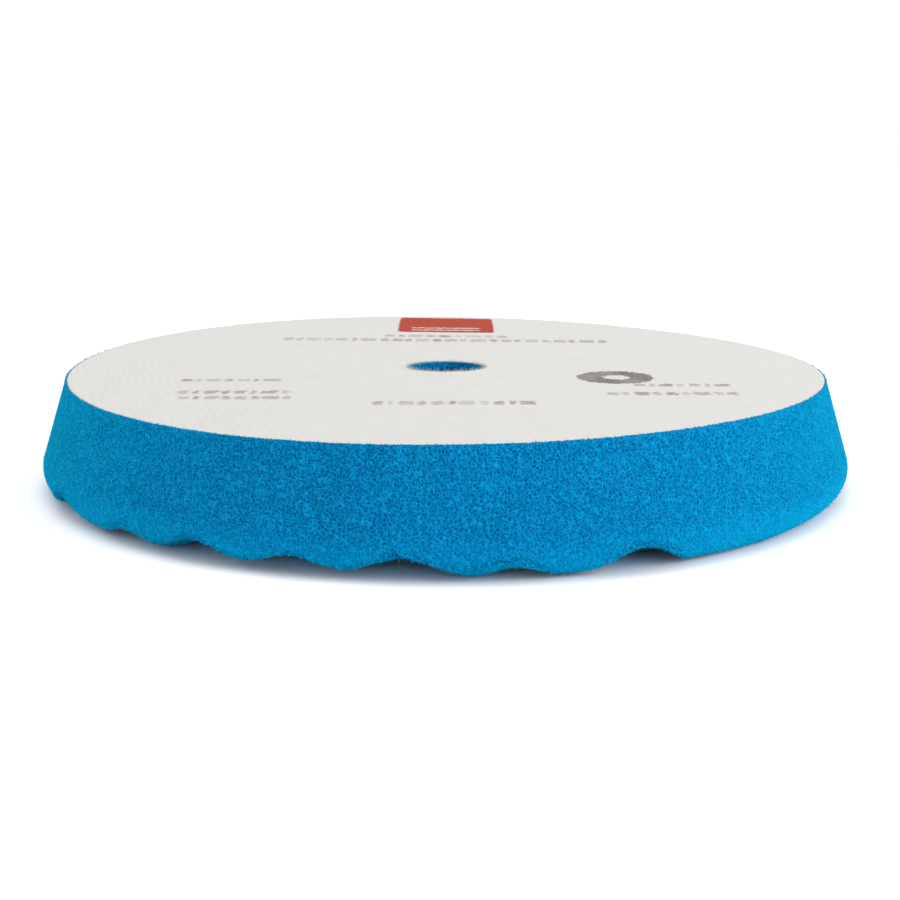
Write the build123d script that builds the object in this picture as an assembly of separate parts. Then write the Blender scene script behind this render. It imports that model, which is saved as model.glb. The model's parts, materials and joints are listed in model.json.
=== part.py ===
"""Foam polishing pad for a rotary machine, lying on its working face.

The pad is a laminate. A flared disc of open-cell foam has a convoluted face below: round
cushions in a square grid, with a valley in the middle of every four. Above it lie a film
of laminating adhesive, the knitted ground cloth of a hook-and-loop fabric, and the loop
pile that grips the hooks of a backing plate. Ink is printed into the tips of the pile.
One bore runs through every layer.

Frame: +Z points from the working face to the loop face, along the spin axis. The origin
is on that axis, in the plane of the working face. Units are millimetres.
"""

from build123d import *
import math
import os

# --- Overall sizes --------------------------------------------------------------------
loop_face_diameter = 150.0
foam_diameter = 160.0
overall_thickness = 21.7
bore_diameter = 16.0

# --- Fabric and adhesive, from the foam upwards ---------------------------------------
adhesive_thickness = 0.1
ground_thickness = 0.2
pile_thickness = 0.35

# --- Foam edge ------------------------------------------------------------------------
edge_radius = 5.0

# --- Cushions of the working face -------------------------------------------------------
cushion_pitch = 17.9
cushion_depth = 4.4
cushion_fullness = 1.1
land_depth = 0.25
cushion_turn = -18.6
cushion_shift_x = -8.6
cushion_shift_y = 4.1
points_per_cushion = 8

# --- Ink: a block behind the bore, a ring symbol, and rows of plain strokes --------------
# The places and sizes are those of the artwork, which placed() scales to the loop face.
artwork_diameter = 150.0
ink_depth = 0.12
block_length = 22.5
block_width = 24.0
block_corner_radius = 1.5
block_place = (0.0, 60.0)
rule_length = 16.0
rule_width = 1.6
rule_places = (-8.6, -5.2)
symbol_diameter = 15.0
symbol_hole_diameter = 5.0
symbol_place = (33.2, -12.5)
stroke_gap = 0.8
stroke_rhythm = (5, 3, 7, 4, 6, 3, 8, 4)
stroke_rows = (
    # left end, right end, middle line, stroke width, strokes
    (-14.0, 14.0, 42.0, 3.4, 9),
    (-36.5, 36.0, 35.8, 4.0, 24),
    (-51.0, -32.0, -16.0, 2.6, 7),
    (-49.8, -29.0, -28.4, 3.2, 8),
    (-48.8, -28.4, -33.8, 3.0, 8),
    (36.0, 54.0, -21.4, 2.8, 7),
    (30.0, 54.0, -30.6, 3.2, 9),
    (-13.2, 16.0, -39.4, 3.6, 11),
)

# --- Levels and radii that follow from the sizes ---------------------------------------
loop_face_radius = loop_face_diameter / 2
bore_radius = bore_diameter / 2
loop_face_level = overall_thickness
ink_level = loop_face_level - ink_depth
pile_level = loop_face_level - pile_thickness
ground_level = pile_level - ground_thickness
foam_level = ground_level - adhesive_thickness
artwork_scale = loop_face_diameter / artwork_diameter
cutter_margin = 2.0
blank_level = -2 * land_depth


def ring(outer_radius, bottom, top):
    """A flat ring around the bore, between two levels."""
    disc = Cylinder(outer_radius, top - bottom, align=(Align.CENTER, Align.CENTER, Align.MIN))
    hole = Cylinder(bore_radius, top - bottom, align=(Align.CENTER, Align.CENTER, Align.MIN))
    return Pos(0, 0, bottom) * (disc - hole)


def foam_blank():
    """The foam before its cushions are cut: a straight flared side above a rounded edge.

    The side runs from the rim of the loop face and is tangent to the edge round, whose
    centre lies one edge radius inside the foam's largest radius. The blank reaches a
    little below the working face, so that the face cuts the edge round at a real angle.
    """
    centre_x = foam_diameter / 2 - edge_radius
    centre_z = blank_level + edge_radius
    reach = math.hypot(loop_face_radius - centre_x, foam_level - centre_z)
    lean = math.atan2(loop_face_radius - centre_x, foam_level - centre_z)
    normal_angle = math.asin(edge_radius / reach) - lean
    tangent_x = centre_x + edge_radius * math.cos(normal_angle)
    tangent_z = centre_z + edge_radius * math.sin(normal_angle)
    round_arc = CenterArc(
        (centre_x, centre_z), edge_radius, -90, 90 + math.degrees(normal_angle)
    )
    outline = Polyline(
        (tangent_x, tangent_z),
        (loop_face_radius, foam_level),
        (bore_radius, foam_level),
        (bore_radius, blank_level),
        (centre_x, blank_level),
    )
    section = Plane.XZ * make_face([round_arc, outline])
    return revolve(section, Axis.Z)


def cushion_height(x, y):
    """Height of the convoluted face before its cushions are cut flat.

    A cosine along each axis, the two averaged and turned over, gives 0 on a cushion's
    crown and 1 at a valley's floor. A power fills out the cushions.
    """
    wave = 2 * math.pi / cushion_pitch
    crowns = math.cos(wave * (x - cushion_shift_x)) + math.cos(wave * (y - cushion_shift_y))
    share = max(0.5 - 0.25 * crowns, 0)
    return (cushion_depth + land_depth) * share**cushion_fullness - land_depth


def valley_cutter():
    """All that lies below the convoluted face, over the pad's whole reach."""
    step = cushion_pitch / points_per_cushion
    last = math.ceil((foam_diameter / 2 + cutter_margin) / step)
    places = [step * count for count in range(-last, last + 1)]
    grid = [[Vector(x, y, cushion_height(x, y)) for y in places] for x in places]
    face = Face.make_surface_from_array_of_points(grid, tol=0.02, min_deg=3, max_deg=3)
    return Solid.extrude(face, Vector(0, 0, -2 * (cushion_depth + cutter_margin)))


def make_foam():
    """The foam: the blank less its valleys, and less all that lies below the working face.

    The box below cuts the cushions' crowns flat. It is joined to the turned valley cutter
    first, and reaches past that cutter's corners.
    """
    side = 2 * foam_diameter
    below = Box(side, side, cutter_margin, align=(Align.CENTER, Align.CENTER, Align.MAX))
    return foam_blank() - (Rot(0, 0, cushion_turn) * valley_cutter() + below)


def placed(place, face):
    """A printed face at its place in the artwork, both scaled to the loop face."""
    x, y = place
    return Pos(artwork_scale * x, artwork_scale * y) * scale(face, by=artwork_scale)


def block_print():
    """The printed block's face, with two blank rules left in it."""
    block = RectangleRounded(block_length, block_width, block_corner_radius)
    rules = [Pos(0, y) * Rectangle(rule_length, rule_width) for y in rule_places]
    return placed(block_place, block - rules)


def symbol_print():
    """A plain ring that stands for the pad, seen from above."""
    return placed(symbol_place, Circle(symbol_diameter / 2) - Circle(symbol_hole_diameter / 2))


def row_print(left, right, middle, width, strokes):
    """One row of plain strokes, whose lengths follow the rhythm and fill the row."""
    shares = [stroke_rhythm[i % len(stroke_rhythm)] for i in range(strokes)]
    unit = (right - left - stroke_gap * (strokes - 1)) / sum(shares)
    faces = []
    x = left
    for share in shares:
        length = share * unit
        faces.append(placed((x + length / 2, middle), Rectangle(length, width)))
        x += length + stroke_gap
    return faces


def ink_solids(faces):
    """Printed faces as thin solids, flush with the loop face."""
    return [Pos(0, 0, ink_level) * extrude(face, amount=ink_depth) for face in faces]


def main():
    """Builds every layer and writes one STEP file for each."""
    ink = {
        "print_block": ink_solids([block_print()]),
        "print_symbol": ink_solids([symbol_print()]),
        "print_lines": ink_solids([face for row in stroke_rows for face in row_print(*row)]),
    }
    pile = ring(loop_face_radius, pile_level, loop_face_level)
    for solids in ink.values():
        pile = pile - solids
    nodes = {
        "foam_disc": make_foam(),
        "adhesive_film": ring(loop_face_radius, foam_level, ground_level),
        "ground_cloth": ring(loop_face_radius, ground_level, pile_level),
        "loop_pile": pile,
    }
    nodes.update({name: Compound(children=solids) for name, solids in ink.items()})
    os.makedirs("parts", exist_ok=True)
    for name, shape in nodes.items():
        export_step(shape, f"parts/{name}.step")


main()
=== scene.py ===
"""Looks of a foam polishing pad, built around its CAD frame.

The pad lies on its cushioned face, with its loop face up. Lengths are in metres, +Z is up,
and the origin is on the pad's axis, in the plane that the pad lies on.
"""

import json
import math

import bmesh
import bpy
import numpy as np
from mathutils import Matrix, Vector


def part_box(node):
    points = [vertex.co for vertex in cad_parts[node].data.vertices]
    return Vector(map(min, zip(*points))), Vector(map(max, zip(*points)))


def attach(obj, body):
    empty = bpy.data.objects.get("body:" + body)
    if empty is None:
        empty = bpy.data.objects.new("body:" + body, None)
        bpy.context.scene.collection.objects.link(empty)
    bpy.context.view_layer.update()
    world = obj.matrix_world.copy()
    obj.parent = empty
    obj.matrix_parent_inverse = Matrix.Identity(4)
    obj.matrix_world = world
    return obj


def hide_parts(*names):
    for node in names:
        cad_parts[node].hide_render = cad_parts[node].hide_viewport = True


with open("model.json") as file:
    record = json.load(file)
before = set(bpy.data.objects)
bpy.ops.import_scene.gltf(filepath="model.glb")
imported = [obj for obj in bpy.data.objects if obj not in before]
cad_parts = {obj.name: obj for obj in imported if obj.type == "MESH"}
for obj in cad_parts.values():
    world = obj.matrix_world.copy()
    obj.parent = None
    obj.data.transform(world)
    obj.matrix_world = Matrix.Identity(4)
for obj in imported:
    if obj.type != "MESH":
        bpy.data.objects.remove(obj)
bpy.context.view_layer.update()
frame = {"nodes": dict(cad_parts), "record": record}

MM = 0.001

# --- Sizes read from the frame --------------------------------------------------------------
foam_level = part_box("foam_disc")[1][2]
film_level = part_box("adhesive_film")[1][2]
ground_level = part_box("ground_cloth")[1][2]
face_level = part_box("loop_pile")[1][2]
face_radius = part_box("loop_pile")[1][0]
bore_radius = next(
    m["dims"]["r_mm"] * MM for m in frame["record"]["mounts"] if m["kind"] == "bore"
)

# --- Foam's section, with a thin lip round the cloth's edge and a collar in the bore --------
foam_radius = 80.35 * MM
edge_radius = 5 * MM
lip_gap = 0.04 * MM
lip_width = 0.34 * MM
lip_rise = 0.12 * MM
lip_tilt = 0.18 * MM
collar_width = 0.35 * MM
collar_drop = 0.35 * MM

# --- Foam's mesh: how fine each stretch is, and where its points round the axis halve -------
rim_columns = 2560
rim_step = 0.22 * MM
bore_step = 0.25 * MM
face_steps = (0.37 * MM, 0.4 * MM, 0.4 * MM)
face_halvings = (45 * MM, 20 * MM)
laminate_steps = (2 * MM, 4 * MM, 3 * MM)
laminate_doublings = (20 * MM, face_radius - 26 * MM, face_radius - 1.5 * MM)

# --- Cushions of the working face, whose valleys close at one place on the rim --------------
cushion_pitch = 17.9 * MM
cushion_depth = 4.4 * MM
cushion_fullness = 1.1
land_depth = 0.25 * MM
cushion_turn = math.radians(-18.6)
cushion_shifts = (-8.6 * MM, 4.1 * MM)
closed_place = (62.6 * MM, -48.9 * MM)
closed_reach = (18 * MM, 27 * MM)

# --- Open cells, deeper at the valleys' lips and calmer at the laminate ---------------------
cell_size = 0.66 * MM
cell_depth = 0.36 * MM
cell_floor = 0.42
cell_unevenness = 0.12
cell_uneven_size = 2.2 * MM
edge_bite = 0.9
bite_lift = (0.3 * MM, 1.5 * MM)
bite_reach = (1.6 * MM, 0.6 * MM)
glue_margin = 0.4 * MM
level_slack = 1e-7
laminate_calm = 0.5
laminate_calm_reach = 1 * MM
collar_relief = 0.2
foam_drift = 0.07 * MM
foam_drift_size = 9 * MM

# --- Loose strut ends: how many stand at each place, and how long they can be ---------------
strut_radius = 0.06 * MM
strut_spread = 0.75
strut_shortest = 0.4
strut_hollow_limit = 0.35
valley_edge_lift = 0.6 * MM
valley_edge_reach = 0.9 * MM
lower_edge_reach = 2.5 * MM
top_edge_reach = 0.7 * MM
valley_struts = (3600, 0.42 * MM)
lower_struts = (2000, 0.3 * MM)
top_struts = (2600, 0.24 * MM)
side_struts = (1200, 0.2 * MM)

# --- Fibres at the cloth's cut edges: how many, and their shortest and longest --------------
fibre_radius = 0.02 * MM
rim_fibres = (3000, 0.08 * MM, 0.25 * MM)
hole_fibres = (1500, 0.2 * MM, 0.6 * MM)
fibre_inset = 0.05 * MM
fibre_lean = 0.5
fibre_spread = 0.6
fibre_rise = 0.3
hole_fibre_rise = 0.6
strand_bend = 0.45
strand_taper = 0.67

# --- Cloth: wales that wander and fade, courses, a nap and a burr round the punched hole ----
wale_turn = math.radians(15)
wale_pitch = 1.5 * MM
wale_depth = 0.05 * MM
wale_wander = 0.3 * MM
wale_wander_size = 6 * MM
wale_patch_size = 5 * MM
wale_fade_x = (30 * MM, -55 * MM)
wale_fade_y = (45 * MM, -35 * MM)
course_pitch = 1.15 * MM
course_depth = 0.02 * MM
nap_depth = 0.06 * MM
nap_size = 0.7 * MM
burr_rise = 0.4 * MM
burr_droop = 0.25 * MM
burr_reach = 1.2 * MM
across_step = 0.33 * MM
along_step = 0.6 * MM
# the hem's share of the painted shade between wales
hem_painted_shade = 0.3

# --- Ground cloth and film: the ring's points, and how raggedly its edges were cut ----------
layer_columns = 1440
layer_shelf = 2 * MM
ragged_size = 0.5 * MM
ground_ragged = 0.05 * MM
film_ragged = 0.08 * MM

# --- The pad's own twist: two opposite quarters of the loop face stand a little high --------
twist = 0.45 * MM

# --- Print ----------------------------------------------------------------------------------
ink_lift = 0.03 * MM
ink_margin = 0.5 * MM
ink_step = 0.25 * MM
ink_edge = (0.2 * MM, -0.25 * MM)
ink_bleed_size = 0.6 * MM
ink_seat = 0.05 * MM
ink_surface_share = 0.3
block_corner = 1.5 * MM
block_bleed = 0.2 * MM
rule_half_length = 8.0 * MM
rule_half_width = 0.8 * MM
rule_corner = 0.2 * MM
rule_bleed = 0.5 * MM
rule_strength = 0.7
rule_offsets = (-8.6 * MM, -5.2 * MM)
symbol_hole_radius = 2.5 * MM
symbol_bleed = 0.5 * MM
symbol_wear = 0.13
symbol_wear_size = 3.5 * MM
symbol_rings = 27
symbol_columns = 180
stroke_corner = 0.4 * MM
stroke_bleed = 0.45 * MM
stroke_faintest = 0.45

# --- Studio ---------------------------------------------------------------------------------
floor_reach = 3.0
floor_points = 9
room_strength = 1.04
soft_boxes = (
    # name, place, point it faces, side, watts
    ("top_box", (-0.15, 0.1, 0.9), (0, 0, 0), 0.8, 2.4),
    ("right_box", (0.75, -0.35, 0.3), (0, 0, 0.01), 0.5, 4.6),
    ("left_box", (-0.8, -0.2, 0.25), (0, 0, 0.01), 0.5, 0.5),
)
camera_place = (0, -0.3253, 0.0761)
camera_heading = math.radians(-0.153)
camera_pitch = math.radians(90 - 12.443)
camera_roll = math.radians(0.213)
camera_lens = 64.88
camera_sensor = 36
camera_clip = (0.01, 20)


# --- Numbers --------------------------------------------------------------------------------
def scatter(cells, seed):
    """Three repeatable random numbers from 0 to 1 for each cell of a whole-number grid.

    The cell's three indices are multiplied by large primes, mixed bit by bit, and each
    mix's low bits give one number.
    """
    mixed = cells.astype(np.int64) * np.array([73856093, 19349663, 83492791])
    mixed = (mixed[..., 0] ^ mixed[..., 1] ^ mixed[..., 2]) + seed * 2654435761
    numbers = []
    for prime in (2246822519, 3266489917, 668265263):
        mixed = (mixed ^ (mixed >> 15)) * prime & 0xFFFFFFFF
        numbers.append((mixed >> 8) / 0xFFFFFF)
    return np.stack(numbers, -1)


def cell_hollow(points, size, seed):
    """How far inside a foam cell each point lies: 0 on a strut and about 1 in mid-cell.

    Space is cut into cubes with one random centre each. The value is the distance to the
    second nearest centre less the distance to the nearest, over the cube's size.
    """
    scaled = points / size
    home = np.floor(scaled).astype(np.int64)
    nearest = np.full(len(points), np.inf)
    second = np.full(len(points), np.inf)
    for step in np.ndindex(3, 3, 3):
        cube = home + np.array(step) - 1
        away = np.linalg.norm(cube + scatter(cube, seed) - scaled, axis=1)
        second = np.minimum(second, np.maximum(nearest, away))
        nearest = np.minimum(nearest, away)
    return second - nearest


def drift(points, size, seed):
    """Smooth noise from -1 to 1: random values at cube corners, blended in between."""
    scaled = points / size
    home = np.floor(scaled).astype(np.int64)
    part = scaled - home
    part = part * part * (3 - 2 * part)
    total = np.zeros(len(points))
    for step in np.ndindex(2, 2, 2):
        corner = np.array(step)
        weight = np.prod(np.where(corner, part, 1 - part), axis=1)
        total += weight * scatter(home + corner, seed)[:, 0]
    return 2 * total - 1


def ease(low, high, value):
    """0 below low, 1 above high, and an S curve in between."""
    share = np.clip((value - low) / (high - low), 0, 1)
    return share * share * (3 - 2 * share)


def partly(amount, value):
    """A factor that is 1 where the value is 1, and 1 less the amount where it is 0."""
    return 1 - amount + amount * value


def flat_points(x, y):
    """Points at height 0 for arrays of x and y of any shape."""
    return np.stack([x.ravel(), y.ravel(), 0 * x.ravel()], -1)


def twisted(points):
    """The points after the pad's twist, which grows with height and with x times y."""
    out = points.copy()
    saddle = -2 * points[:, 0] * points[:, 1] / face_radius**2
    out[:, 2] += twist * saddle * points[:, 2] / face_level
    return out


# --- Meshes ---------------------------------------------------------------------------------
def make_piece(name, points, face_sets, material, **values):
    """A smooth mesh piece from points and arrays of faces, with one value a point."""
    mesh = bpy.data.meshes.new(name)
    mesh.vertices.add(len(points))
    mesh.vertices.foreach_set("co", points.astype(np.float32).ravel())
    counts = np.concatenate([np.full(len(f), f.shape[1]) for f in face_sets])
    corners = np.concatenate([f.ravel() for f in face_sets])
    mesh.loops.add(len(corners))
    mesh.loops.foreach_set("vertex_index", corners.astype(np.int32))
    mesh.polygons.add(len(counts))
    starts = np.concatenate([[0], np.cumsum(counts)[:-1]])
    mesh.polygons.foreach_set("loop_start", starts.astype(np.int32))
    mesh.update(calc_edges=True)
    mesh.shade_smooth()
    for label, numbers in values.items():
        layer = mesh.attributes.new(label, "FLOAT", "POINT")
        layer.data.foreach_set("value", numbers.astype(np.float32))
    piece = bpy.data.objects.new(name, mesh)
    bpy.context.scene.collection.objects.link(piece)
    mesh.materials.append(material)
    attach(piece, "root")
    return piece


def normals_of(piece):
    """The piece's own normals, one for each point."""
    normals = np.zeros(len(piece.data.vertices) * 3, np.float32)
    piece.data.vertices.foreach_get("normal", normals)
    return normals.reshape(-1, 3).astype(float)


def turned(profile, columns):
    """A profile of (radius, height) rows carried round the axis, from the front to +X."""
    angle = np.arange(columns) * (2 * math.pi / columns)
    radius, height = profile[:, :1], profile[:, 1:]
    return np.stack(
        [radius * np.sin(angle), -radius * np.cos(angle), height + 0 * angle], -1
    )


def ring_faces(first, rows, columns):
    """Quads between neighbouring rings of one band, facing out of the solid."""
    start = first + np.arange(rows - 1)[:, None] * columns
    here = np.arange(columns)
    after = (here + 1) % columns
    quads = [start + here, start + columns + here, start + columns + after, start + after]
    return np.stack(quads, -1).reshape(-1, 4)


def seam_faces(a, a_columns, b, b_columns):
    """Faces between two rings, where either has as many points as the other or twice."""
    if a_columns == b_columns:
        here = np.arange(a_columns)
        after = (here + 1) % a_columns
        return [np.stack([a + here, b + here, b + after, a + after], -1)]
    coarse = min(a_columns, b_columns)
    here = np.arange(coarse)
    after = (here + 1) % coarse
    fine = [2 * here, 2 * here + 1, (2 * here + 2) % (2 * coarse)]
    if a_columns > b_columns:
        corners = [
            (a + fine[0], b + here, a + fine[1]),
            (a + fine[1], b + here, b + after),
            (a + fine[1], b + after, a + fine[2]),
        ]
    else:
        corners = [
            (a + here, b + fine[0], b + fine[1]),
            (a + here, b + fine[1], a + after),
            (a + after, b + fine[1], b + fine[2]),
        ]
    return [np.stack(c, -1) for c in corners]


def closed_rings(bands):
    """Points and faces of a closed ring-shaped solid made of bands of (profile, columns)."""
    points, faces, firsts = [], [], []
    count = 0
    for profile, columns in bands:
        firsts.append(count)
        points.append(turned(profile, columns).reshape(-1, 3))
        if len(profile) > 1:
            faces.append(ring_faces(count, len(profile), columns))
        count += len(profile) * columns
    for i, (profile, columns) in enumerate(bands):
        last = firsts[i] + (len(profile) - 1) * columns
        following = (i + 1) % len(bands)
        faces += seam_faces(last, columns, firsts[following], bands[following][1])
    return np.concatenate(points), faces


def line(start, end, step, keep_end=False):
    """Evenly spaced (radius, height) rows from start towards end, about a step apart."""
    start, end = np.array(start), np.array(end)
    count = max(2, round(float(np.linalg.norm(end - start)) / step))
    share = np.arange(count + keep_end) / count
    return start + share[:, None] * (end - start)


# --- Materials ------------------------------------------------------------------------------
class Nodes:
    """A material's node tree, with short ways to add and join nodes."""

    def __init__(self, name):
        """A new material of that name, with its shader and its Object coordinates."""
        self.material = bpy.data.materials.new(name)
        self.material.use_nodes = True
        self.tree = self.material.node_tree
        self.shader = self.tree.nodes["Principled BSDF"]
        self.place = self.add("ShaderNodeTexCoord").outputs["Object"]

    def add(self, kind, inputs=(), **settings):
        """A node with its settings, and with its inputs set to values or joined."""
        node = self.tree.nodes.new(kind)
        for key, value in settings.items():
            setattr(node, key, value)
        for key, value in dict(inputs).items():
            self.put(node.inputs[key], value)
        return node

    def put(self, socket, value):
        """Joins a socket to another one, or sets it."""
        if isinstance(value, bpy.types.NodeSocket):
            self.tree.links.new(value, socket)
        else:
            socket.default_value = value

    def finish(self, **inputs):
        """Sets the shader's sockets, with spaces for underscores in their names."""
        for key, value in inputs.items():
            self.put(self.shader.inputs[key.replace("_", " ")], value)
        return self.material

    def noise(self, size, detail=2.0, roughness=0.5):
        """Noise with features of about that size, from 0 to 1."""
        return self.add(
            "ShaderNodeTexNoise",
            {"Vector": self.place, "Scale": 1 / size, "Detail": detail, "Roughness": roughness},
        ).outputs["Fac"]

    def cells(self, size, feature="F1"):
        """Distance in a field of random cells of about that size."""
        inputs = {"Vector": self.place, "Scale": 1 / size}
        return self.add("ShaderNodeTexVoronoi", inputs, feature=feature).outputs["Distance"]

    def value(self, name):
        """The mesh's own value of that name."""
        return self.add("ShaderNodeAttribute", attribute_name=name).outputs["Fac"]

    def span(self, value, low, high, out_low=0.0, out_high=1.0):
        """The value's stretch from low to high, moved to another stretch and clamped."""
        return self.add(
            "ShaderNodeMapRange",
            {
                "Value": value,
                "From Min": low,
                "From Max": high,
                "To Min": out_low,
                "To Max": out_high,
            },
        ).outputs["Result"]

    def sum(self, a, b, operation="ADD"):
        """One sum on two values."""
        return self.add("ShaderNodeMath", {0: a, 1: b}, operation=operation).outputs[0]

    def mix(self, share, a, b):
        """Two colours mixed."""
        node = self.add("ShaderNodeMix", data_type="RGBA")
        self.put(node.inputs[0], share)
        for socket, colour in ((node.inputs[6], a), (node.inputs[7], b)):
            if isinstance(colour, tuple):
                colour = (*colour, 1.0)
            self.put(socket, colour)
        return node.outputs[2]

    def bump(self, height, depth, strength=1.0):
        """A normal bumped by a height from 0 to 1 that stands for that depth."""
        return self.add(
            "ShaderNodeBump", {"Height": height, "Distance": depth, "Strength": strength}
        ).outputs["Normal"]


foam_strut = (0.003, 0.265, 0.545)
# the cells' dark colour is painted shade in the pits between struts
foam_pit_shade = (0.0, 0.08, 0.26)
# painted bounce light from the floor, lighter towards the foam's lower edge
foam_bounce_light = (0.0, 0.33, 0.67)
foam_shade = (0.0, 0.085, 0.27)
foam_sheen = (0.0, 0.95, 0.85, 1.0)
# the light strut colour is a painted glint
strut_dark, strut_glint = (0.0, 0.2, 0.45), (0.015, 0.46, 0.7)
# the darker cloth colour serves both the painted shade between wales and random mottling
cloth_light, cloth_shade_and_mottle = (0.54, 0.534, 0.513), (0.468, 0.46, 0.436)
fibre_dark, fibre_light = (0.5, 0.495, 0.48), (0.58, 0.57, 0.55)
film_dark, film_light = (0.3, 0.55, 0.68), (0.5, 0.66, 0.72)
paper_dark, paper_light = (0.965, 0.965, 0.965), (0.975, 0.975, 0.975)
red_ink = (0.32, 0.022, 0.003)
brown_ink = (0.075, 0.045, 0.038)
grey_ink = (0.13, 0.08, 0.068)


def foam_material():
    """Open-cell foam: painted shade in cells, painted floor bounce low down, patches of uneven
    tone.
    """
    n = Nodes("open_cell_foam")
    hollow = n.value("hollow")
    # painted shade: the pits between struts are darkened, from the mesh's hollow value and finer
    # cells
    fine = n.span(n.cells(0.54 * MM, "DISTANCE_TO_EDGE"), 0.01, 0.2)
    pit_shade = n.sum(n.sum(hollow, 0.3, "MULTIPLY"), n.sum(fine, 0.7, "MULTIPLY"))
    colour = n.mix(pit_shade, foam_strut, foam_pit_shade)
    # painted bounce light: the foam grows lighter from 8 mm down to 1 mm above the floor
    height = n.add("ShaderNodeSeparateXYZ", {0: n.place}).outputs["Z"]
    painted_bounce = n.span(height, 8 * MM, 1 * MM, 0.0, 0.55)
    colour = n.mix(painted_bounce, colour, foam_bounce_light)
    shade = n.span(n.noise(14 * MM, 3.0), 0.3, 0.7, 0.0, 0.1)
    colour = n.mix(shade, colour, foam_shade)
    return n.finish(
        Base_Color=colour,
        Roughness=1.0,
        Specular_IOR_Level=0.02,
        Sheen_Weight=0.35,
        Sheen_Roughness=0.5,
        Sheen_Tint=foam_sheen,
        Normal=n.bump(n.sum(1.0, fine, "SUBTRACT"), 0.12 * MM, 0.6),
    )


def strut_material():
    """The foam's loose strut ends, mottled at random with painted glints."""
    n = Nodes("foam_struts")
    # painted glints: noise mixes the strands towards the light strut colour
    colour = n.mix(n.span(n.noise(0.5 * MM), 0.4, 0.65), strut_dark, strut_glint)
    return n.finish(Base_Color=colour, Roughness=0.8, Specular_IOR_Level=0.08)


def cloth_colour(n):
    """Off-white nylon: painted shade between the wales, and mottled where loops lie over."""
    mottle = n.span(n.noise(1.1 * MM, 4.0, 0.65), 0.3, 0.75)
    broad = n.span(n.noise(5 * MM, 3.0, 0.6), 0.35, 0.7)
    # painted shade: the furrow value darkens the cloth between wales
    furrow = n.value("furrow")
    share = n.sum(n.sum(furrow, 0.35, "MULTIPLY"), n.sum(mottle, 0.3, "MULTIPLY"))
    return n.mix(n.sum(share, n.sum(broad, 0.2, "MULTIPLY")), cloth_light, cloth_shade_and_mottle)


def cloth_height(n):
    """The nap's height: fine noise over small round loops."""
    loops = n.span(n.cells(0.42 * MM), 0.0, 0.7, 1.0, 0.0)
    return n.sum(n.sum(loops, 0.5, "MULTIPLY"), n.sum(n.noise(0.2 * MM), 0.5, "MULTIPLY"))


def cloth_material(name, ink=None, strength=1.0, patchiness=0.3):
    """Brushed nylon loops, with ink of that colour where the mesh's ink value says."""
    n = Nodes(name)
    colour = cloth_colour(n)
    if ink:
        patchy = n.span(n.noise(0.55 * MM, 4.0, 0.7), 0.28, 0.62, 1 - patchiness, 1.0)
        share = n.sum(n.sum(n.value("ink"), patchy, "MULTIPLY"), strength, "MULTIPLY")
        colour = n.mix(share, colour, ink)
    return n.finish(
        Base_Color=colour,
        Roughness=0.95,
        Specular_IOR_Level=0.06,
        Sheen_Weight=0.05,
        Sheen_Roughness=0.5,
        Normal=n.bump(cloth_height(n), 0.1 * MM, 0.5),
    )


def fibre_material():
    """Single nylon fibres, a little brighter than the cloth they leave."""
    n = Nodes("nylon_fibres")
    colour = n.mix(n.noise(1.5 * MM), fibre_dark, fibre_light)
    return n.finish(Base_Color=colour, Roughness=0.5, Specular_IOR_Level=0.3)


def film_material():
    """Set laminating adhesive, milky and stained blue by the foam."""
    n = Nodes("adhesive_film")
    colour = n.mix(n.noise(2 * MM, 3.0), film_dark, film_light)
    return n.finish(
        Base_Color=colour,
        Roughness=n.span(n.noise(0.6 * MM), 0.3, 0.7, 0.35, 0.6),
        Normal=n.bump(n.noise(0.5 * MM), 0.03 * MM),
    )


def floor_material():
    """Plain white studio paper."""
    n = Nodes("studio_paper")
    colour = n.mix(n.noise(0.4), paper_dark, paper_light)
    return n.finish(Base_Color=colour, Roughness=0.9, Specular_IOR_Level=0.1)


# --- Foam -----------------------------------------------------------------------------------
def cushion_lift(x, y):
    """Height of the convoluted face over the floor, 0 on the cushions' flat crowns.

    A cosine along each axis of the cushion grid, the two averaged and turned over, gives
    0 on a crown and 1 in a valley, and a power fills out the cushions. Near one place on
    the rim the cushions are pressed together, which closes the valleys there.
    """
    turn_cos, turn_sin = math.cos(cushion_turn), math.sin(cushion_turn)
    wave = 2 * math.pi / cushion_pitch
    across = np.cos(wave * (x * turn_cos + y * turn_sin - cushion_shifts[0]))
    along = np.cos(wave * (y * turn_cos - x * turn_sin - cushion_shifts[1]))
    share = np.maximum(0.5 - 0.25 * (across + along), 0)
    lift = (cushion_depth + land_depth) * share**cushion_fullness - land_depth
    away = np.hypot(x - closed_place[0], y - closed_place[1])
    return np.maximum(lift, 0) * ease(closed_reach[0], closed_reach[1], away)


def edge_round(lip_outer, lip_level):
    """The rounded edge, from where the side from the lip meets it to the working face.

    The side is tangent to a circle whose centre lies one edge radius inside and above the
    foam's lowest corner.
    """
    centre_radius = foam_radius - edge_radius
    reach = math.hypot(lip_outer - centre_radius, lip_level - edge_radius)
    lean = math.atan2(lip_outer - centre_radius, lip_level - edge_radius)
    tilt = math.asin(edge_radius / reach) - lean
    count = round(edge_radius * (tilt + math.pi / 2) / rim_step)
    angle = np.linspace(tilt, -math.pi / 2, count, endpoint=False)
    radius = centre_radius + edge_radius * np.cos(angle)
    height = edge_radius + edge_radius * np.sin(angle)
    return np.stack([radius, height], -1)


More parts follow.
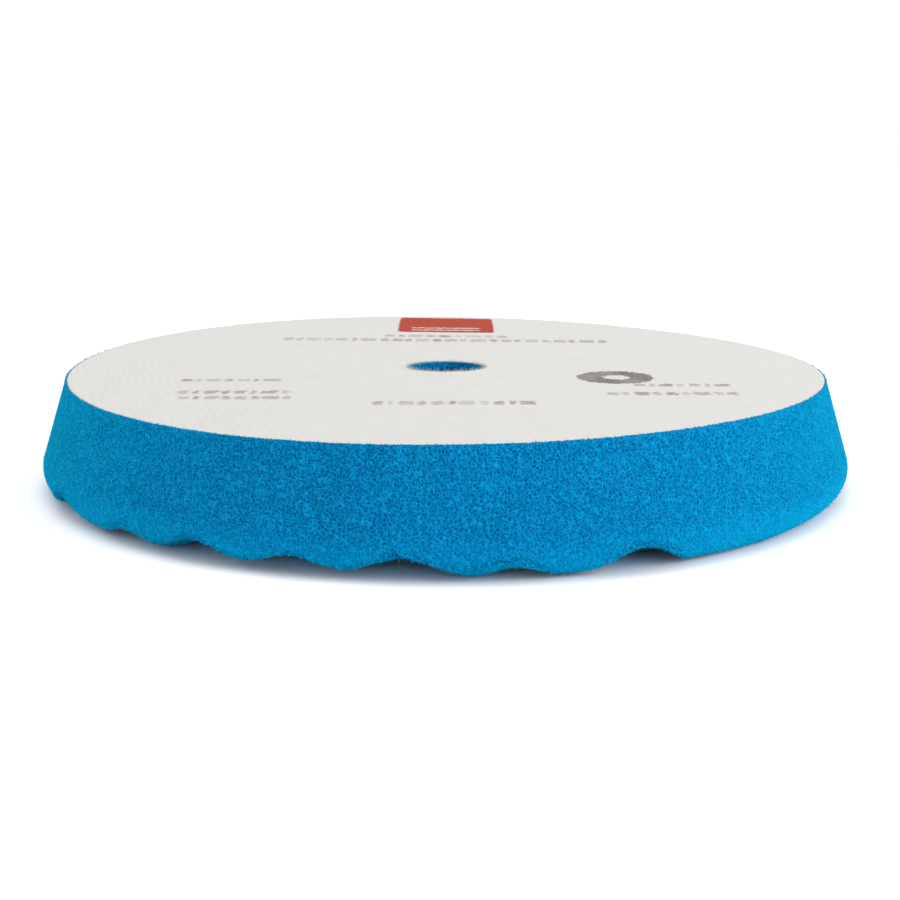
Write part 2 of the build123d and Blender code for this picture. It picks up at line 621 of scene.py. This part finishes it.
def rim_rows():
    """Section rows from the laminate, over the lip and down the side to the edge round."""
    lip_level = face_level + lip_rise
    lip_inner = face_radius + lip_gap
    lip_outer = lip_inner + lip_width
    edge = edge_round(lip_outer, lip_level)
    rows = [
        line((laminate_doublings[2], foam_level), (lip_inner, foam_level), rim_step),
        line((lip_inner, foam_level), (lip_inner, lip_level), rim_step),
        line((lip_inner, lip_level), (lip_outer, lip_level), rim_step),
        line((lip_outer, lip_level), edge[0], rim_step),
        edge,
    ]
    return np.concatenate(rows)


def bore_rows(collar_inner):
    """Section rows up the bore, over the collar and down behind it."""
    collar_outer = bore_radius - lip_gap
    collar_level = face_level - collar_drop
    rows = [
        line((collar_inner, 0), (collar_inner, collar_level), bore_step),
        line((collar_inner, collar_level), (collar_outer, collar_level), rim_step),
        line((collar_outer, collar_level), (collar_outer, foam_level), rim_step, True),
    ]
    return np.concatenate(rows)


def foam_profile():
    """The foam's bands, from the bore outward over the top, down, inward and back up."""
    half, quarter, eighth = rim_columns // 2, rim_columns // 4, rim_columns // 8
    tops = (bore_radius + 0.5 * MM, *laminate_doublings)
    faces = (foam_radius - edge_radius, *face_halvings, bore_radius - collar_width)
    on_top = [
        line((start, foam_level), (end, foam_level), step)
        for start, end, step in zip(tops, tops[1:], laminate_steps)
    ]
    on_face = [
        line((start, 0), (end, 0), step) for start, end, step in zip(faces, faces[1:], face_steps)
    ]
    return [
        *zip(on_top, (eighth, quarter, half)),
        (rim_rows(), rim_columns),
        *zip(on_face, (half, quarter, eighth)),
        (bore_rows(faces[-1]), eighth),
    ]


def carve(points):
    """The foam's points with the valleys pressed up into its working face.

    Each point rises to the smooth maximum of its own height and the face's, an eighth
    root of their eighth powers. Points on the bore's wall share out the rise, and the lip
    leans towards the front.
    """
    x, y, z = points.T
    lift = cushion_lift(x, y)
    carved = points.copy()
    raised = (np.maximum(z, 0) ** 8 + lift**8) ** 0.125
    carved[:, 2] = np.where(z >= foam_level - level_slack, z, np.minimum(raised, z + lift))
    on_bore = (np.hypot(x, y) < bore_radius) & (z < foam_level)
    share = z[on_bore] / foam_level
    carved[on_bore, 2] = lift[on_bore] + share * (foam_level - lift[on_bore])
    tilt = lip_tilt * ease(foam_level - MM, face_level, z) * (np.hypot(x, y) > face_radius)
    carved[:, 2] -= tilt * (1 + y / face_radius)
    return carved


def cell_relief(points, carved):
    """How hollow the skin is at each point, and how deep it sinks there.

    The cells are deepest at the valleys' lips. They are calmer near the laminate, almost
    flat in the collar, and gone where the foam is glued.
    """
    radius, z = np.hypot(points[:, 0], points[:, 1]), points[:, 2]
    hollow = ease(0.0, cell_floor, cell_hollow(carved, cell_size, 3))
    hollow *= partly(cell_unevenness, drift(carved, cell_uneven_size, 5))
    lift = cushion_lift(points[:, 0], points[:, 1])
    bite = ease(*bite_lift, lift) * ease(*bite_reach, carved[:, 2] - lift)
    bite *= radius > face_radius
    depth = hollow * cell_depth * (1 + edge_bite * bite)
    depth += foam_drift * (1 + drift(carved, foam_drift_size, 7))
    depth *= partly(laminate_calm, ease(0, laminate_calm_reach, face_level + lip_rise - z))
    depth[(z >= foam_level - level_slack) & (radius < face_radius - glue_margin)] = 0
    depth[(radius < bore_radius) & (z > foam_level - MM)] *= collar_relief
    return hollow, depth


def make_foam():
    """The convoluted foam, with its open cells sunk into its skin."""
    points, faces = closed_rings(foam_profile())
    carved = carve(points)
    foam = make_piece("foam_body", carved, faces, foam_material())
    normals = normals_of(foam)
    hollow, depth = cell_relief(points, carved)
    carved -= normals * depth[:, None]
    foam.data.vertices.foreach_set("co", twisted(carved).astype(np.float32).ravel())
    # the hollow value also darkens the cells' colour, as painted shade
    layer = foam.data.attributes.new("hollow", "FLOAT", "POINT")
    layer.data.foreach_set("value", hollow.astype(np.float32))
    foam.data.update()
    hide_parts("foam_disc")
    make_loose_struts(carved, normals, hollow)


# --- Fibres and struts ----------------------------------------------------------------------
def make_strands(name, roots, leans, radius, material, seed):
    """Short curved strands with three sides and a closed tip.

    A strand's middle line leaves its root along its lean and bends sideways with the
    square of the distance. Its radius shrinks to a third at the tip. The floor flattens
    any strand that reaches it.
    """
    rng = np.random.default_rng(seed)
    count, rings = len(roots), 4
    share = np.linspace(0, 1, rings)[None, :, None]
    length = np.linalg.norm(leans, axis=1)[:, None, None]
    bend = rng.normal(size=(count, 1, 3)) * strand_bend * length
    middle = roots[:, None] + leans[:, None] * share + bend * share**2
    along = leans[:, None] + 2 * bend * share
    along /= np.linalg.norm(along, axis=2, keepdims=True)
    side = np.cross(along, rng.normal(size=(count, 1, 3)))
    side /= np.linalg.norm(side, axis=2, keepdims=True)
    other = np.cross(along, side)
    angle = np.arange(3) * (2 * math.pi / 3)
    wide = (radius * (1 - strand_taper * share**2))[..., None, :]
    spread = side[:, :, None] * np.cos(angle)[:, None]
    spread = spread + other[:, :, None] * np.sin(angle)[:, None]
    points = (middle[:, :, None] + wide * spread).reshape(-1, 3)
    points[:, 2] = np.maximum(points[:, 2], 0)
    first = np.arange(count)[:, None, None] * (3 * rings)
    ring = np.arange(rings - 1)[None, :, None] * 3
    here = np.arange(3)[None, None, :]
    after = (here + 1) % 3
    start = first + ring
    quads = np.stack(
        [start + here, start + after, start + 3 + after, start + 3 + here], -1
    ).reshape(-1, 4)
    tip = first[:, 0] + 3 * (rings - 1) + np.arange(3)[None]
    root = first[:, 0] + np.array([[2, 1, 0]])
    return make_piece(name, twisted(points), [quads, tip, root], material)


def round_points(count, radius, low, high, rng):
    """Random points on an upright cylinder, and their outward directions."""
    angle = rng.uniform(0, 2 * math.pi, count)
    out = np.stack([np.sin(angle), -np.cos(angle), 0 * angle], -1)
    points = out * radius
    points[:, 2] = rng.uniform(low, high, count)
    return points, out


def make_loose_struts(points, normals, hollow):
    """Cut strut ends that stand out of the foam's skin, most of them along its edges."""
    rng = np.random.default_rng(61)
    radius, z = np.hypot(points[:, 0], points[:, 1]), points[:, 2]
    lift = cushion_lift(points[:, 0], points[:, 1])
    outside = (radius > face_radius) & (z < face_level + lip_rise)
    outside &= hollow < strut_hollow_limit
    valley_edge = outside & (lift > valley_edge_lift) & (z < lift + valley_edge_reach)
    lower_edge = outside & (z < lift + lower_edge_reach)
    top_edge = outside & (z > face_level - top_edge_reach)
    groups = (
        (valley_edge, valley_struts),
        (lower_edge, lower_struts),
        (top_edge, top_struts),
        (outside, side_struts),
    )
    picked, longest = [], []
    for where, (count, reach) in groups:
        picked.append(rng.choice(np.flatnonzero(where), count, replace=False))
        longest.append(np.full(count, reach))
    picked = np.concatenate(picked)
    aim = normals[picked] + strut_spread * rng.normal(size=(len(picked), 3))
    aim /= np.linalg.norm(aim, axis=1, keepdims=True)
    length = rng.uniform(strut_shortest, 1.0, len(picked)) * np.concatenate(longest)
    struts = make_strands(
        "loose_struts", points[picked], aim * length[:, None], strut_radius, strut_material(), 62
    )


def make_edge_fibres():
    """Fibres that stand out of the cloth's cut edges, at the rim and round the bore."""
    rng = np.random.default_rng(11)
    rim_radius, hole_radius = face_radius - fibre_inset, bore_radius + fibre_inset
    rim, rim_out = round_points(rim_fibres[0], rim_radius, ground_level, face_level, rng)
    hole, hole_out = round_points(hole_fibres[0], hole_radius, ground_level, face_level, rng)
    hole[:, 2] += burr(hole[:, 0], hole[:, 1])
    up = np.array([0, 0, 1])
    aim = np.concatenate([rim_out * fibre_lean, -hole_out * fibre_lean + up * hole_fibre_rise])
    aim = aim + rng.normal(size=aim.shape) * fibre_spread + up * fibre_rise
    aim /= np.linalg.norm(aim, axis=1, keepdims=True)
    reach = [
        rng.uniform(shortest, longest, count)
        for count, shortest, longest in (rim_fibres, hole_fibres)
    ]
    leans = aim * np.concatenate(reach)[:, None]
    roots = np.concatenate([rim, hole])
    fibres = make_strands("edge_fibres", roots, leans, fibre_radius, fibre_material(), 12)


# --- Cloth ----------------------------------------------------------------------------------
def cloth_axes(x, y):
    """Coordinates across and along the wales."""
    turn_cos, turn_sin = math.cos(wale_turn), math.sin(wale_turn)
    return x * turn_cos + y * turn_sin, y * turn_cos - x * turn_sin


def furrow_depth(x, y):
    """How deep each point lies between wales: 0 on a wale's crest and 1 in the furrow.

    The wales wander a little and come and go, and they fade towards +X and +Y.
    """
    across, _ = cloth_axes(x, y)
    flat = flat_points(x, y)
    wander = wale_wander * drift(flat, wale_wander_size, 21)
    strength = partly(0.75, ease(*wale_fade_x, x)) * partly(0.6, ease(*wale_fade_y, y))
    strength *= partly(0.35, drift(flat, wale_patch_size, 23))
    return strength * (0.5 - 0.5 * np.cos(2 * math.pi * (across + wander) / wale_pitch))


def burr(x, y):
    """How far the punched cloth stands up at the bore's front and rolls down at its back."""
    radius = np.hypot(x, y)
    front = -y / np.maximum(radius, bore_radius)
    size = np.where(front > 0, burr_rise, burr_droop)
    return size * front * np.exp(-np.maximum(radius - bore_radius, 0) / burr_reach)


def cloth_height_at(x, y):
    """Height of the loop face: wales, courses that step along them, a nap and the burr."""
    across, along = cloth_axes(x, y)
    shift = 0.5 * np.round(across / wale_pitch)
    courses = 0.5 - 0.5 * np.cos(2 * math.pi * (along / course_pitch + shift))
    nap = partly(0.5, drift(flat_points(x, y), nap_size, 22))
    sunk = wale_depth * furrow_depth(x, y) + course_depth * courses + nap_depth * nap
    return face_level - sunk + burr(x, y)


def boundary_edges(quads):
    """Edges that only one face uses, each in its face's own direction."""
    edges = np.concatenate([quads[:, [i, (i + 1) % 4]] for i in range(4)])
    key = np.sort(edges, axis=1)
    code = key[:, 0] * (int(edges.max()) + 1) + key[:, 1]
    _, where, uses = np.unique(code, return_inverse=True, return_counts=True)
    return edges[uses[where] == 1]


def cloth_grid():
    """A grid along the wales that covers the whole loop face, and its quads."""
    reach = face_radius + 2 * along_step
    u = np.arange(-reach, reach, across_step)
    v = np.arange(-reach, reach, along_step)
    turn_cos, turn_sin = math.cos(wale_turn), math.sin(wale_turn)
    across, along = np.meshgrid(u, v, indexing="ij")
    x = (across * turn_cos - along * turn_sin).ravel()
    y = (across * turn_sin + along * turn_cos).ravel()
    index = np.arange(len(x)).reshape(across.shape)
    quads = [index[:-1, :-1], index[1:, :-1], index[1:, 1:], index[:-1, 1:]]
    return x, y, np.stack(quads, -1).reshape(-1, 4)


def cut_round(x, y, quads):
    """The part of the grid between bore and rim, with its edge points moved onto them."""
    middle = np.hypot(x[quads].mean(1), y[quads].mean(1))
    quads = quads[(middle < face_radius) & (middle > bore_radius)]
    used, corners = np.unique(quads, return_inverse=True)
    x, y, quads = x[used], y[used], corners.reshape(-1, 4)
    edges = boundary_edges(quads)
    rim = np.unique(edges)
    radius = np.hypot(x[rim], y[rim])
    cut = np.where(radius > 0.5 * face_radius, face_radius, bore_radius)
    x[rim] *= cut / radius
    y[rim] *= cut / radius
    return x, y, quads, edges, rim


def hem(top, edges, rim):
    """Two rows of points below the cloth's edge points, and quads down to each of them."""
    points, faces = [], []
    above = np.arange(len(top))
    count = len(top)
    for share in (0.5, 1.0):
        row = top[rim].copy()
        row[:, 2] += share * (ground_level - row[:, 2])
        points.append(row)
        below = np.full(len(top), -1)
        below[rim] = count + np.arange(len(rim))
        a, b = edges.T
        faces.append(np.stack([above[a], below[a], below[b], above[b]], -1))
        above = below
        count += len(rim)
    return points, faces


def make_loop_pile():
    """The loop face: a fine grid along the wales, cut round, with its edges turned down."""
    x, y, quads, edges, rim = cut_round(*cloth_grid())
    top = np.stack([x, y, cloth_height_at(x, y)], -1)
    hem_points, hem_faces = hem(top, edges, rim)
    points = np.concatenate([top, *hem_points])
    # the furrow value carries painted shade between the wales into the cloth's colour
    furrow = np.concatenate([furrow_depth(x, y), np.full(2 * len(rim), hem_painted_shade)])
    pile = make_piece(
        "loop_face",
        twisted(points),
        [quads, *hem_faces],
        cloth_material("loop_nylon"),
        furrow=furrow,
    )
    close_below(pile)
    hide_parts("loop_pile")


def close_below(piece):
    """Fills the flat ring between a sheet's two lower edges."""
    work = bmesh.new()
    work.from_mesh(piece.data)
    rim = [edge for edge in work.edges if edge.is_boundary]
    bmesh.ops.triangle_fill(work, edges=rim, use_beauty=True, use_dissolve=False)
    bmesh.ops.recalc_face_normals(work, faces=work.faces)
    for face in work.faces:
        face.smooth = True
    work.to_mesh(piece.data)
    work.free()


def make_layer(name, low, high, material, ragged, seed):
    """A flat closed ring between two levels, whose cut edges wander in and out."""
    mid = (low + high) / 2
    profile = np.array(
        [
            (bore_radius, low),
            (bore_radius, mid),
            (bore_radius, high),
            (bore_radius + layer_shelf, high),
            (face_radius - layer_shelf, high),
            (face_radius, high),
            (face_radius, mid),
            (face_radius, low),
            (face_radius - layer_shelf, low),
            (bore_radius + layer_shelf, low),
        ]
    )
    points, faces = closed_rings([(profile, layer_columns)])
    radius = np.hypot(points[:, 0], points[:, 1])
    at_edge = (radius < bore_radius + MM) | (radius > face_radius - MM)
    shift = ragged * (drift(points, ragged_size, seed) - 1) * at_edge
    outward = np.where(radius > 0.5 * face_radius, shift, -shift)
    points[:, :2] *= (1 + outward / radius)[:, None]
    # half the painted shade between wales, all over the layer's colour
    furrow = np.full(len(points), 0.5)
    return make_piece(name, twisted(points), faces, material, furrow=furrow)


def make_ground_knit():
    """The knitted ground cloth under the loops."""
    material = cloth_material("ground_knit")
    knit = make_layer("ground_knit", film_level, ground_level, material, ground_ragged, 31)
    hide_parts("ground_cloth")


def make_film():
    """The laminating adhesive between the foam and the ground cloth."""
    material = film_material()
    film = make_layer("laminating_film", foam_level, film_level, material, film_ragged, 32)
    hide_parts("adhesive_film")


# --- Print ----------------------------------------------------------------------------------
def solids_of(node):
    """The (low, high) corners of each separate solid in a CAD node."""
    work = bmesh.new()
    work.from_mesh(frame["nodes"][node].data)
    bmesh.ops.remove_doubles(work, verts=work.verts, dist=1e-6)
    left, found = set(work.verts), []
    while left:
        todo, members = [left.pop()], []
        while todo:
            vert = todo.pop()
            members.append(tuple(vert.co))
            near = {e.other_vert(vert) for e in vert.link_edges} & left
            left -= near
            todo += near
        members = np.array(members)
        found.append((members.min(0), members.max(0)))
    work.free()
    return sorted(found, key=lambda box: tuple(box[0]))


def slab(top, wrap=False):
    """Points and faces of a closed slab whose top is a grid of points.

    Wrap joins the grid's last column to its first.
    """
    rows, columns = top.shape[:2]
    index = np.arange(rows * columns).reshape(rows, columns)
    if wrap:
        index = np.concatenate([index, index[:, :1]], axis=1)
    below = index + rows * columns
    bottom = top.copy()
    bottom[..., 2] = ground_level + ink_seat
    points = np.concatenate([top.reshape(-1, 3), bottom.reshape(-1, 3)])
    faces = [
        np.stack([index[:-1, :-1], index[:-1, 1:], index[1:, 1:], index[1:, :-1]], -1),
        np.stack([below[:-1, :-1], below[1:, :-1], below[1:, 1:], below[:-1, 1:]], -1),
        np.stack([index[0, 1:], index[0, :-1], below[0, :-1], below[0, 1:]], -1),
        np.stack([index[-1, :-1], index[-1, 1:], below[-1, 1:], below[-1, :-1]], -1),
    ]
    if not wrap:
        faces += [
            np.stack([index[:-1, 0], index[1:, 0], below[1:, 0], below[:-1, 0]], -1),
            np.stack([index[1:, -1], index[:-1, -1], below[:-1, -1], below[1:, -1]], -1),
        ]
    return points, np.concatenate([f.reshape(-1, 4) for f in faces])


def rounded_distance(x, y, half_x, half_y, corner):
    """Distance outside a rounded rectangle round the origin, negative inside it."""
    out_x, out_y = np.abs(x) - half_x + corner, np.abs(y) - half_y + corner
    outside = np.hypot(np.maximum(out_x, 0), np.maximum(out_y, 0))
    return outside + np.minimum(np.maximum(out_x, out_y), 0) - corner


def ink_share(distance, x, y, bleed):
    """1 inside a printed shape and 0 outside, with an edge that the loops make uneven."""
    uneven = bleed * drift(flat_points(x, y), ink_bleed_size, 41).reshape(x.shape)
    return ease(*ink_edge, distance + uneven)


def patch_grid(low, high):
    """A grid of x and y over a printed shape's box, with a margin all round."""
    wide = high[:2] - low[:2] + 2 * ink_margin
    columns, rows = (np.maximum(3, np.ceil(wide / ink_step)) + 1).astype(int)
    x = np.linspace(low[0] - ink_margin, high[0] + ink_margin, columns)
    y = np.linspace(low[1] - ink_margin, high[1] + ink_margin, rows)
    return np.meshgrid(x, y)


def on_cloth(x, y, share):
    """A grid of points just above the loop face where it is inked, and below it elsewhere."""
    height = cloth_height_at(x.ravel(), y.ravel()).reshape(x.shape)
    lift = ink_lift * (2 * ease(0, ink_surface_share, share) - 1)
    return np.stack([x, y, height + lift], -1)


def make_print(name, node, slabs, shares, material):
    """One printed piece from several slabs of inked loops."""
    points, faces, ink = [], [], []
    count = 0
    for (slab_points, slab_faces), share in zip(slabs, shares):
        points.append(slab_points)
        faces.append(slab_faces + count)
        ink.append(np.tile(share.ravel(), 2))
        count += len(slab_points)
    points = np.concatenate(points)
    # painted shade between the wales, under the ink
    furrow = furrow_depth(points[:, 0], points[:, 1])
    piece = make_piece(
        name, twisted(points), faces, material, furrow=furrow, ink=np.concatenate(ink)
    )
    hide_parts(node)


def make_block():
    """The printed block, with two faint rules left in it."""
    low, high = (np.array(c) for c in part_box("print_block"))
    centre, half = (low + high) / 2, (high - low) / 2
    x, y = patch_grid(low, high)
    dx, dy = x - centre[0], y - centre[1]
    distance = rounded_distance(dx, dy, half[0], half[1], block_corner)
    share = ink_share(distance, x, y, block_bleed)
    for offset in rule_offsets:
        rule = rounded_distance(dx, dy - offset, rule_half_length, rule_half_width, rule_corner)
        share = share * (1 - rule_strength * ink_share(rule, x, y, rule_bleed))
    material = cloth_material("red_ink", red_ink, 1.0, 0.05)
    block = slab(on_cloth(x, y, share))
    make_print("print_red", "print_block", [block], [share], material)


def make_symbol():
    """The printed ring, worn unevenly."""
    low, high = (np.array(c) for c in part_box("print_symbol"))
    centre, outer = (low + high) / 2, (high[0] - low[0]) / 2
    inner_edge, outer_edge = symbol_hole_radius - ink_margin, outer + ink_margin
    radius = np.linspace(inner_edge, outer_edge, symbol_rings)[:, None]
    angle = np.linspace(0, 2 * math.pi, symbol_columns, endpoint=False)[None, :]
    x = centre[0] + radius * np.cos(angle)
    y = centre[1] + radius * np.sin(angle)
    distance = np.maximum(radius - outer, symbol_hole_radius - radius) + 0 * angle
    wear = drift(flat_points(x, y), symbol_wear_size, 43).reshape(x.shape)
    share = ink_share(distance, x, y, symbol_bleed) * partly(symbol_wear, wear)
    material = cloth_material("brown_ink", brown_ink, 1.0, 0.35)
    ring = slab(on_cloth(x, y, share)[::-1], wrap=True)
    make_print("print_ring", "print_symbol", [ring], [share[::-1]], material)


def make_lines():
    """The printed strokes, each with its own strength."""
    rng = np.random.default_rng(51)
    slabs, shares = [], []
    for low, high in solids_of("print_lines"):
        centre, half = (low + high) / 2, (high - low) / 2
        x, y = patch_grid(low, high)
        dx, dy = x - centre[0], y - centre[1]
        distance = rounded_distance(dx, dy, half[0], half[1], stroke_corner)
        share = ink_share(distance, x, y, stroke_bleed)
        shares.append(share * rng.uniform(stroke_faintest, 1.0))
        slabs.append(slab(on_cloth(x, y, share)))
    material = cloth_material("grey_ink", grey_ink, 0.85, 0.8)
    make_print("print_strokes", "print_lines", slabs, shares, material)


# --- Studio ---------------------------------------------------------------------------------
def make_floor():
    """A wide sheet of studio paper at the level that the pad lies on."""
    side = np.linspace(-floor_reach, floor_reach, floor_points)
    x, y = np.meshgrid(side, side)
    index = np.arange(floor_points**2).reshape(x.shape)
    quads = np.stack([index[:-1, :-1], index[:-1, 1:], index[1:, 1:], index[1:, :-1]], -1)
    mesh = bpy.data.meshes.new("floor")
    mesh.from_pydata(flat_points(x, y).tolist(), [], quads.reshape(-1, 4).tolist())
    floor = bpy.data.objects.new("floor", mesh)
    bpy.context.scene.collection.objects.link(floor)
    mesh.materials.append(floor_material())


def make_light(name, place, aim, size, power):
    """A square soft box at a place, turned towards a point."""
    data = bpy.data.lights.new(name, "AREA")
    data.shape, data.size, data.energy = "SQUARE", size, power
    light = bpy.data.objects.new(name, data)
    bpy.context.scene.collection.objects.link(light)
    place, aim = np.array(place), np.array(aim)
    back = (place - aim) / np.linalg.norm(place - aim)
    side = np.cross((0, 0, 1), back)
    side /= np.linalg.norm(side)
    turn = np.stack([side, np.cross(back, side), back], 1)
    light.matrix_world = Matrix.Translation(place) @ Matrix(turn.tolist()).to_4x4()


def make_studio():
    """Even white surroundings, with a soft box above and one to each side."""
    scene = bpy.context.scene
    scene.view_settings.view_transform = "Standard"
    world = bpy.data.worlds.new("white_room")
    scene.world = world
    world.use_nodes = True
    background = world.node_tree.nodes["Background"]
    background.inputs["Color"].default_value = (1.0, 1.0, 1.0, 1.0)
    background.inputs["Strength"].default_value = room_strength
    for soft_box in soft_boxes:
        make_light(*soft_box)


def make_camera():
    """A camera just above the loop face's level, in front of the pad."""
    data = bpy.data.cameras.new("camera")
    data.lens = camera_lens
    data.sensor_width = camera_sensor
    data.clip_start, data.clip_end = camera_clip
    camera = bpy.data.objects.new("camera", data)
    bpy.context.scene.collection.objects.link(camera)
    camera.matrix_world = (
        Matrix.Translation(camera_place)
        @ Matrix.Rotation(camera_heading, 4, "Z")
        @ Matrix.Rotation(camera_pitch, 4, "X")
        @ Matrix.Rotation(camera_roll, 4, "Z")
    )
    bpy.context.scene.camera = camera


def main():
    """Makes the pad, then the studio round it."""
    make_foam()
    make_film()
    make_ground_knit()
    make_loop_pile()
    make_edge_fibres()
    make_block()
    make_symbol()
    make_lines()
    make_floor()
    make_studio()
    make_camera()


main()
